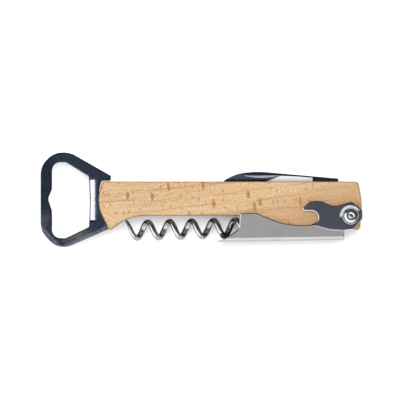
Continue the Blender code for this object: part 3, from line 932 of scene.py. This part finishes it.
class OBJECT_OT_corkscrew_knife(bpy.types.Operator):
    """Model the foil knife: a hollow-ground blade with a nail nick."""

    bl_idname = "object.corkscrew_knife"
    bl_label = "Foil knife"

    def execute(self, context):
        settings = context.scene.corkscrew_steel
        low, high = layer("knife_blade")
        piece = slab("blade", BLADE, low, high)
        carve(piece, self.wheel(1, high), self.wheel(-1, high), self.nick_wheel(high))
        drill(piece, KNIFE, EYE_HOLE_R - 0.1)
        clean_cuts(piece)
        # The flats take the plate colour: a painted dark reflection
        dark = metal("blade_flat", settings.plate_colour, 0.15, scratch=0.06)
        bright = ground_face("blade_ground", settings)
        nick = metal("blade_nick", settings.plain_colour, 0.25, grain=(0.3, 6.0, 1.0), metallic=0.6)
        dress(piece, dark, bright, nick)
        ground_slot, nick_slot = 1, 2
        paint(piece, ground_slot, lambda centre, normal: 0.5 < abs(normal.z) < QUITE_FLAT)
        paint(piece, nick_slot, lambda centre, normal: normal.y > 0.1 and normal.z > 0.5)
        round_edges(piece, settings.edge_width * 0.4, 2, ground_slot)
        hand_over(piece, "knife", "polished_steel", "knife_blade")
        return {"FINISHED"}

    def wheel(self, side, top):
        """The grinding wheel that hollows one face, as a long cylinder along the blade."""
        edge_y, edge_height = GRIND_EDGE
        chord = Vector((GRIND_SHOULDER - edge_y, top - edge_height))
        lift = math.sqrt(GRIND_WHEEL**2 - (chord.length / 2) ** 2)
        away = Vector((-chord.y, chord.x)).normalized() * lift
        centre = Vector((edge_y, edge_height)) + chord / 2 + away
        start, end = GRIND_SPAN
        deselect()
        half = (end - start) / 2
        middle_x = end - half * math.cos(GRIND_LEAN)
        middle_y = centre.x - half * math.sin(GRIND_LEAN)
        bpy.ops.mesh.primitive_cylinder_add(
            vertices=1024, radius=GRIND_WHEEL * MM, depth=2 * half * MM,
            location=(middle_x * MM, middle_y * MM, MIDDLE + side * centre.y * MM),
            rotation=(0.0, math.pi / 2, GRIND_LEAN),
        )
        cutter = bpy.context.object
        place_in_mesh(cutter)
        return cutter

    def nick_wheel(self, top):
        """The thin dished wheel that cuts the nail nick, steep at its upper side."""
        low, high = NICK_SPAN
        radius = (NICK_LENGTH**2 / 4 + NICK_DEPTH**2) / (2 * NICK_DEPTH)
        slope = NICK_DEPTH / (high - low)
        width = 1.5 * (high - low)
        deselect()
        bpy.ops.mesh.primitive_cone_add(
            vertices=720, radius1=radius * MM, radius2=(radius - slope * width) * MM, depth=width * MM,
            location=(NICK_MIDDLE * MM, (high - width / 2) * MM, MIDDLE + (top - NICK_DEPTH + radius) * MM),
            rotation=(math.pi / 2, 0.0, 0.0),
        )
        cutter = bpy.context.object
        place_in_mesh(cutter)
        return cutter


class OBJECT_OT_corkscrew_worm(bpy.types.Operator):
    """Model the worm: a pointed wire coiled right-handed, its shank and its eye."""

    bl_idname = "object.corkscrew_worm"
    bl_label = "Worm"

    def execute(self, context):
        settings = context.scene.corkscrew_worm
        piece = self.wire(settings)
        eye = slab("eye", circle_corners(WORM, EYE_R), -EYE_HALF, EYE_HALF)
        activate(eye)
        bevel = eye.modifiers.new("Rounded eye", "BEVEL")
        bevel.width = EYE_ROUNDING * MM
        bevel.segments = 4
        bevel.limit_method = "ANGLE"
        apply_modifiers(eye)
        carve(piece, eye, operation="UNION")
        drill(piece, WORM, EYE_HOLE_R)
        even = (0.5, 0.5, 0.5)
        dress(piece, metal("bright_chrome", settings.chrome, 0.08, grain=even, mottle=0.05, scratch=0.02))
        even_shading(piece)
        hand_over(piece, "corkscrew", "chrome", "worm")
        return {"FINISHED"}

    def coil_point(self, turn, settings):
        """A point of the coil's centre line and the wire's radius there, counted in turns from the tip."""
        pitch = settings.pitch / MM
        opening = max(0.0, 1 - turn / TIP_TURNS)
        closing = max(0.0, (turn - TURNS) / RUN_OUT_TURNS)
        x = FIRST_PEAK_X + pitch * turn + pitch * (RUN_OUT_STRETCH - 1) * closing * max(0.0, turn - TURNS)
        axis_y = AXIS_Y + (x - AXIS_X) * AXIS_RISE
        radius = settings.coil_radius / MM * (1 + math.cos(math.pi * closing)) / 2 + TIP_FLARE * opening**2
        swell = min(1.0, turn / TIP_TURNS) ** 0.7
        wire = settings.tip_radius + (settings.wire_radius - settings.tip_radius) * swell
        angle = math.tau * turn
        return Vector((x, axis_y + radius * math.cos(angle), radius * math.sin(angle))), wire

    def wire(self, settings):
        """The wire as a round curve through its path, made a mesh."""
        count = round((TURNS + RUN_OUT_TURNS) * settings.steps)
        path = [self.coil_point((TURNS + RUN_OUT_TURNS) * i / count, settings) for i in range(count + 1)]
        start = path[-1][0]
        bend, end = (Vector((*place, 0.0)) for place in (SHANK_BEND, SHANK_END))
        for k in range(1, SHANK_STEPS + 1):
            t = k / SHANK_STEPS
            path.append((start * (1 - t) ** 2 + bend * 2 * t * (1 - t) + end * t * t, settings.wire_radius))
        curve = bpy.data.curves.new("worm_wire", "CURVE")
        curve.dimensions = "3D"
        curve.bevel_depth = 1.0
        curve.bevel_resolution = 8
        curve.use_fill_caps = True
        spline = curve.splines.new("POLY")
        spline.points.add(len(path) - 1)
        for point, (place, radius) in zip(spline.points, path):
            point.co = (*(place * MM + Vector((0.0, 0.0, MIDDLE))), 1.0)
            point.radius = radius
        piece = bpy.data.objects.new("worm_wire", curve)
        bpy.context.scene.collection.objects.link(piece)
        activate(piece)
        bpy.ops.object.convert(target="MESH")
        piece = bpy.context.object
        bpy.ops.object.mode_set(mode="EDIT")
        merge_and_face_out()
        bpy.ops.object.mode_set(mode="OBJECT")
        return piece


class OBJECT_OT_corkscrew_lever(bpy.types.Operator):
    """Model the lever: a satin channel and two slate ears, with polished cut edges, a painted sheen on the fold
    and painted shade on the upper cut edges.
    """

    bl_idname = "object.corkscrew_lever"
    bl_label = "Lever"

    def execute(self, context):
        settings = context.scene.corkscrew_steel
        low, high = layer("lever")
        inside, outside = CHANNEL_WALL
        piece = slab("lever_sheet", CHANNEL, -outside, outside)
        carve(piece, self.hollow(inside), self.fold(1, outside), self.fold(-1, outside))
        front = slab("front_ear", EAR, high - EAR_THICKNESS, high)
        back = slab("back_ear", EAR, low, low + EAR_THICKNESS)
        carve(piece, front, back, operation="UNION")
        drill(piece, LEVER, SHANK_HOLE_R)
        clean_cuts(piece)
        rolled = {"grain": (0.25, 5.0, 1.0), "mottle": 0.05}
        sheet = metal("satin_sheet", settings.sheet_colour, 0.36, metallic=0.75, **rolled)
        bright = metal("cut_edge", settings.bright_colour, 0.15)
        slate = slate_ear("slate_ear", settings)
        # A lighter, less metallic copy of the sheet for the fold band: painted sheen
        folded = metal("fold_painted_sheen", shade(settings.sheet_colour, 1.05), 0.35, metallic=0.3, **rolled)
        # The upper cut edges take the plate colour: painted shade
        edge_shade = metal("painted_shade_edge", settings.plate_colour, 0.2)
        dress(piece, sheet, bright, slate, folded, edge_shade)
        sheet_slot, edge_slot, slate_slot, fold_slot, edge_shade_slot = range(5)
        fold_top = self.beside_web(FOLD_R + 0.1)[1] / MM
        fold_lean = abs(WEB_RIGHT[1] - WEB_LEFT[1])
        joggle_left, joggle_right = EAR[0][0] + 1.5, CHANNEL[2][0] - 0.1

        def on_fold(centre, normal):
            low_down = centre.y < fold_top + fold_lean
            return low_down and 0.02 < abs(normal.z) < FLAT and normal.y < -0.05

        def on_upper_edge(centre, normal):
            return centre.y > fold_top + 2.0 and normal.y > 0.2 and abs(normal.z) < 0.97

        def on_joggle(centre, normal):
            low_on_ear = joggle_left < centre.x < joggle_right and centre.y < EAR[0][1]
            return low_on_ear and outside - 0.01 < abs(centre.z) and abs(normal.z) < FLAT

        paint(piece, slate_slot, lambda centre, normal: abs(centre.z) > high - 0.1 and abs(normal.z) > FLAT)
        paint(piece, fold_slot, on_fold)
        round_edges(piece, settings.edge_width * 0.8, settings.edge_segments, edge_slot)
        # painted shade on the cut edges that face +Y
        paint(piece, edge_shade_slot, on_upper_edge)
        paint(piece, sheet_slot, on_joggle)
        hand_over(piece, "lever", "satin_steel", "lever")
        return {"FINISHED"}

    def lean(self):
        """The web's slope along the channel."""
        return math.atan2(WEB_RIGHT[1] - WEB_LEFT[1], WEB_RIGHT[0] - WEB_LEFT[0])

    def beside_web(self, height):
        """The middle of the line that runs height above the outside of the web."""
        x = (WEB_LEFT[0] + WEB_RIGHT[0]) / 2 - height * math.sin(self.lean())
        y = (WEB_LEFT[1] + WEB_RIGHT[1]) / 2 + height * math.cos(self.lean())
        return x * MM, y * MM

    def bar(self, height, depth, half_width, level):
        """A long cutter along the channel: its middle's height over the web, its depth and its half width."""
        deselect()
        x, y = self.beside_web(height)
        bpy.ops.mesh.primitive_cube_add(
            size=1.0, location=(x, y, MIDDLE + level * MM), rotation=(0.0, 0.0, self.lean()),
            scale=(100 * MM, depth * MM, 2 * half_width * MM),
        )
        cutter = bpy.context.object
        place_in_mesh(cutter)
        return cutter

    def hollow(self, inside):
        """What is taken out of the channel, rounded where the sheet folds."""
        cutter = self.bar(WEB_THICKNESS + 10.0, 20.0, inside, 0.0)
        bottom = self.beside_web(WEB_THICKNESS)[1]
        bpy.ops.object.mode_set(mode="EDIT")

        def at_fold(edge):
            first, second = (end.co for end in edge.verts)
            return abs(first.x - second.x) > 50 * MM and (first.y + second.y) / 2 < bottom + MM

        pick_edges(cutter, at_fold)
        bpy.ops.mesh.bevel(offset=(FOLD_R - WEB_THICKNESS) * MM, segments=5, affect="EDGES")
        bpy.ops.object.mode_set(mode="OBJECT")
        return cutter

    def fold(self, side, outside):
        """What lies outside the round fold between the web and one wall."""
        size = FOLD_R + 1.0
        cutter = self.bar(FOLD_R / 2 - 0.5, size, size / 2, side * (outside - FOLD_R / 2 + 0.5))
        x, y = self.beside_web(FOLD_R)
        deselect()
        bpy.ops.mesh.primitive_cylinder_add(
            vertices=96, radius=FOLD_R * MM, depth=110 * MM,
            location=(x, y, MIDDLE + side * (outside - FOLD_R) * MM),
            rotation=(0.0, math.pi / 2, self.lean()),
        )
        core = bpy.context.object
        place_in_mesh(core)
        carve(cutter, core)
        return cutter


class OBJECT_OT_corkscrew_rivet(bpy.types.Operator):
    """Turn the domed lever rivet and the two raised collars under its heads."""

    bl_idname = "object.corkscrew_rivet"
    bl_label = "Lever rivet"

    def execute(self, context):
        settings = context.scene.corkscrew_steel
        even = (0.7, 0.7, 0.7)
        polished = metal("polished_head", settings.bright_colour, 0.12, grain=even, mottle=0.3, scratch=0.05)
        high = layer("lever_rivet")[1]
        head = [*RIVET_HEAD, (0.6, high), (0.0, high)]
        back_head = [(radius, -height) for radius, height in reversed(head)]
        rivet = turned("rivet", LEVER, back_head + head)
        dress(rivet, polished)
        even_shading(rivet)
        hand_over(rivet, "handle", "polished_steel", "lever_rivet")
        for word, side in (("front", 1), ("back", -1)):
            node = f"rivet_collar_{word}"
            faces = sorted(abs(height) for height in layer(node))
            profile = [(radius, side * (faces[outer] + lift)) for radius, outer, lift in COLLAR]
            collar = turned(f"collar_{word}", LEVER, profile)
            dress(collar, polished)
            even_shading(collar)
            hand_over(collar, "handle", "polished_steel", node)
        return {"FINISHED"}


class OBJECT_OT_corkscrew_stage(bpy.types.Operator):
    """Set up the pale floor, the soft lights and the camera."""

    bl_idname = "object.corkscrew_stage"
    bl_label = "Stage"

    def execute(self, context):
        settings = context.scene.corkscrew_stage
        context.scene.view_settings.view_transform = "Standard"
        self.add_floor(settings)
        self.add_world(context)
        self.add_lights(settings)
        self.add_camera(context, settings)
        return {"FINISHED"}

    def add_floor(self, settings):
        deselect()
        bpy.ops.mesh.primitive_plane_add(size=settings.floor_size, location=(0.0, 0.0, CAD_BOX[0][2]))
        floor = bpy.context.object
        floor.name = "floor"
        finish = Finish("pale_floor")
        cloud = finish.noise(finish.place(), (0.002, 0.002, 0.002))
        finish.set(Base_Color=finish.mix(cloud, settings.floor_colour, shade(settings.floor_colour, 0.99)))
        finish.set(Roughness=0.9, Specular_IOR_Level=0.0)
        finish.set(Emission_Color=(1.0, 1.0, 1.0), Emission_Strength=settings.floor_glow)
        self.dim_in_mirrors(finish)
        dress(floor, finish.material)

    def dim_in_mirrors(self, finish):
        """Lets polished metal see a dark table under the tool and a paler one on the lever's side."""
        tree = finish.tree
        out = tree.nodes["Material Output"]
        glossy = finish.node("ShaderNodeLightPath", {}, output="Is Glossy Ray")
        dark = finish.node("ShaderNodeBsdfDiffuse", {}, (0.03, 0.03, 0.035, 1.0), output="BSDF")
        pale = finish.node("ShaderNodeBsdfDiffuse", {}, (0.42, 0.42, 0.43, 1.0), output="BSDF")
        before_lever = finish.part(finish.place(), "Y").step(-12.0, -15.0)
        dark = finish.node("ShaderNodeMixShader", {}, before_lever, dark, pale, output="Shader")
        surface = Wire(finish, finish.shader.outputs[0])
        mixed = finish.node("ShaderNodeMixShader", {}, glossy, surface, dark, output="Shader")
        finish.feed(out.inputs["Surface"], mixed)

    def add_world(self, context):
        """An even white sky; polished metal sees it bright towards the ring and the lever, dark elsewhere."""
        world = bpy.data.worlds.new("studio")
        context.scene.world = world
        world.use_nodes = True
        sky = Nodes(world.node_tree)
        way = sky.node("ShaderNodeTexCoord", {}, output="Generated")
        height = sky.node("ShaderNodeSeparateXYZ", {}, way, output="Z")
        dot, smooth = {"operation": "DOT_PRODUCT"}, {"interpolation_type": "SMOOTHSTEP"}
        side = sky.node("ShaderNodeVectorMath", dot, way, BRIGHT_SIDE, output="Value")
        strength = sky.node("ShaderNodeMapRange", smooth, side, -0.15, 0.45, 0.05, 1.0)
        colour = sky.node("ShaderNodeValToRGB", {"stops": MIRRORED_SKY}, height)
        felt = sky.node("ShaderNodeBackground", {}, colour, strength)
        seen = sky.node("ShaderNodeBackground", {}, SKY_COLOUR)
        glossy = sky.node("ShaderNodeLightPath", {}, output="Is Glossy Ray")
        mixed = sky.node("ShaderNodeMixShader", {}, glossy, seen, felt)
        sky.feed(sky.tree.nodes["World Output"].inputs["Surface"], mixed)

    def add_lights(self, settings):
        for name, place, size, power in (
            ("key_light", (-0.10, 0.30, 1.10), 0.6, settings.key_power),
            ("fill_light", (0.25, -0.8, 0.75), 0.7, settings.fill_power),
            ("side_light", (-0.9, -0.1, 0.7), 0.5, settings.side_power),
        ):
            deselect()
            bpy.ops.object.light_add(type="AREA", location=place)
            light = bpy.context.object
            light.name = name
            light.data.energy = power
            light.data.size = size
            light.visible_glossy = False
            light.rotation_euler = (-Vector(place)).to_track_quat("-Z", "Y").to_euler()

    def add_camera(self, context, settings):
        offset = (-0.48 * MM, -0.15 * MM)
        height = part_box("front_scale")[1].z + settings.camera_height
        bpy.ops.object.camera_add(location=(*offset, height), rotation=(0.0, 0.0, 0.0))
        camera = bpy.context.object
        camera.data.lens = camera.data.sensor_width * settings.camera_height / settings.view_width
        camera.data.clip_end = 20.0
        context.scene.camera = camera


class VIEW3D_PT_corkscrew(bpy.types.Panel):
    """Buttons that build the corkscrew piece by piece."""

    bl_label = "Waiter's corkscrew"
    bl_space_type = "VIEW_3D"
    bl_region_type = "UI"
    bl_category = "Corkscrew"

    def draw(self, context):
        for operator in OPERATORS:
            self.layout.operator(operator.bl_idname)


SETTINGS = {
    "corkscrew_wood": WoodSettings,
    "corkscrew_steel": SteelSettings,
    "corkscrew_worm": WormSettings,
    "corkscrew_stage": StageSettings,
}
OPERATORS = (
    OBJECT_OT_corkscrew_inner,
    OBJECT_OT_corkscrew_scales,
    OBJECT_OT_corkscrew_ring,
    OBJECT_OT_corkscrew_knife,
    OBJECT_OT_corkscrew_worm,
    OBJECT_OT_corkscrew_lever,
    OBJECT_OT_corkscrew_rivet,
    OBJECT_OT_corkscrew_stage,
)


def register():
    for name, group in SETTINGS.items():
        bpy.utils.register_class(group)
        setattr(bpy.types.Scene, name, PointerProperty(type=group))
    for operator in OPERATORS:
        bpy.utils.register_class(operator)
    bpy.utils.register_class(VIEW3D_PT_corkscrew)


def unregister():
    bpy.utils.unregister_class(VIEW3D_PT_corkscrew)
    for operator in reversed(OPERATORS):
        bpy.utils.unregister_class(operator)
    for name, group in SETTINGS.items():
        delattr(bpy.types.Scene, name)
        bpy.utils.unregister_class(group)


def main():
    register()
    for operator in OPERATORS:
        category, name = operator.bl_idname.split(".")
        getattr(getattr(bpy.ops, category), name)()


if __name__ == "__main__":
    main()
